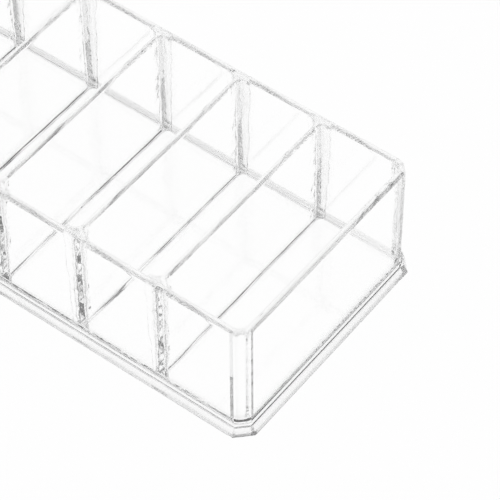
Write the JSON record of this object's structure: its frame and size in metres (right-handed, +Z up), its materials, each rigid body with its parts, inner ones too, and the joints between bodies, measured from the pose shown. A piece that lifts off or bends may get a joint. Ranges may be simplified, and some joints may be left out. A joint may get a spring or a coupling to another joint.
{
  "type": "vanity organizer",
  "caption": "Clear open-topped vanity organizer: a long walled tray with upright dividers that make a row of narrow compartments, on a slightly wider bevelled base plate.",
  "frame": {"origin": "on the table, under the centre of the base plate", "axes": "+X along the row of compartments, +Y from the front wall to the back wall, +Z up out of the open top"},
  "size_m": [0.2678, 0.093, 0.05],
  "materials": {
    "clear_acrylic": "clear, polished"
  },
  "bodies": {
    "root": {"base_plate": "clear_acrylic", "front_wall": "clear_acrylic", "back_wall": "clear_acrylic", "left_end_wall": "clear_acrylic", "right_end_wall": "clear_acrylic", "corner_strip_front_left": "clear_acrylic", "corner_strip_front_right": "clear_acrylic", "corner_strip_back_left": "clear_acrylic", "corner_strip_back_right": "clear_acrylic", "divider_1": "clear_acrylic", "divider_2": "clear_acrylic", "divider_3": "clear_acrylic", "divider_4": "clear_acrylic", "divider_5": "clear_acrylic", "divider_6": "clear_acrylic", "divider_7": "clear_acrylic"}
  },
  "joints": []
}
